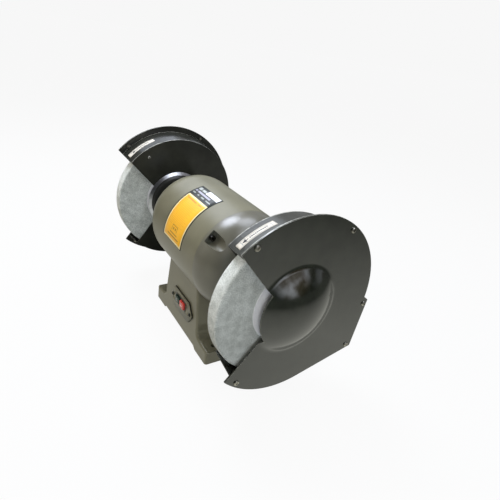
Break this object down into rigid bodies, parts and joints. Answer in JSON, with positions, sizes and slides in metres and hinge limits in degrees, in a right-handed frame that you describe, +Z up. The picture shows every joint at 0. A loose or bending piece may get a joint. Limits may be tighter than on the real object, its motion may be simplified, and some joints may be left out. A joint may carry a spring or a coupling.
{
  "type": "bench grinder",
  "caption": "Electric bench grinder: a cast motor frame on a waisted pedestal, with a guarded grinding wheel on each end of one shaft and a push-button switch in front.",
  "frame": {"origin": "on the underside of the feet, midway between the four foot bolt holes and straight below the middle of the shaft", "axes": "+X along the shaft to the right-hand wheel, -Y to the operator, +Z up"},
  "size_m": [0.5564, 0.2885, 0.35],
  "materials": {
    "grey_enamel": "semi-gloss grey enamel with an olive cast",
    "black_enamel": "semi-gloss black enamel",
    "plated_steel": "zinc plated",
    "bare_steel": "turned",
    "bearing_steel": "ground",
    "lamination_steel": "stacked sheet, dull",
    "copper": "enamelled copper wire",
    "cast_aluminium": "as cast",
    "abrasive": "vitrified grey grit, matt",
    "paper": "matt pressed paper",
    "bush_plastic": "moulded",
    "black_plastic": "moulded, satin",
    "red_plastic": "translucent moulding, glossy",
    "green_plastic": "moulded, glossy",
    "amber_film": "printed film",
    "white_film": "printed film"
  },
  "bodies": {
    "frame": {"arrow_label_left": "white_film", "arrow_label_right": "white_film", "base_cover": "black_enamel", "base_cover_screws": "plated_steel", "bearing_balls_left": "bearing_steel", "bearing_balls_right": "bearing_steel", "bearing_outer_race_left": "bearing_steel", "bearing_outer_race_right": "bearing_steel", "capacitor": "cast_aluminium", "capacitor_strap": "black_enamel", "cord_gland": "black_plastic", "cover_nuts_left": "plated_steel", "cover_nuts_right": "plated_steel", "cover_screws_left": "plated_steel", "cover_screws_right": "plated_steel", "end_bell_left": "grey_enamel", "end_bell_right": "grey_enamel", "guard_cover_left": "black_enamel", "guard_cover_right": "black_enamel", "guard_grub_screws_left": "plated_steel", "guard_grub_screws_right": "plated_steel", "guard_housing_left": "black_enamel", "guard_housing_right": "black_enamel", "guard_mount_left": "black_enamel", "guard_mount_right": "black_enamel", "guard_plate_screws_left": "plated_steel", "guard_plate_screws_right": "plated_steel", "motor_housing": "grey_enamel", "rating_label": "amber_film", "shield_bracket_screw_left": "plated_steel", "shield_bracket_screw_right": "plated_steel", "stator_core": "lamination_steel", "stator_windings": "copper", "switch_body": "black_plastic", "switch_plate": "black_enamel", "switch_plate_screws": "plated_steel", "terminal_block": "black_plastic", "tie_bolts": "plated_steel"},
    "spindle": {"shaft": "bare_steel", "rotor_core": "lamination_steel", "rotor_end_rings": "cast_aluminium", "bearing_inner_race_left": "bearing_steel", "inner_flange_left": "bare_steel", "outer_flange_left": "bare_steel", "blotters_left": "paper", "wheel_bush_left": "bush_plastic", "grinding_wheel_left": "abrasive", "spindle_nut_left": "bare_steel", "bearing_inner_race_right": "bearing_steel", "inner_flange_right": "bare_steel", "outer_flange_right": "bare_steel", "blotters_right": "paper", "wheel_bush_right": "bush_plastic", "grinding_wheel_right": "abrasive", "spindle_nut_right": "bare_steel"},
    "start": {"start_button": "green_plastic"},
    "stop": {"stop_button": "red_plastic"}
  },
  "joints": [
    {"name": "spindle_spin", "type": "hinge", "parent": "frame", "child": "spindle", "pos_m": [0, 0, 0.197], "axis": [1, 0, 0], "continuous": true},
    {"name": "start_press", "type": "slide", "parent": "frame", "child": "start", "axis": [0, 1, 0], "range_m": [0, 0.003], "stiffness_N_per_m": 900, "springref_m": -0.001},
    {"name": "stop_press", "type": "slide", "parent": "frame", "child": "stop", "axis": [0, 1, 0], "range_m": [0, 0.003], "stiffness_N_per_m": 900, "springref_m": -0.001}
  ]
}
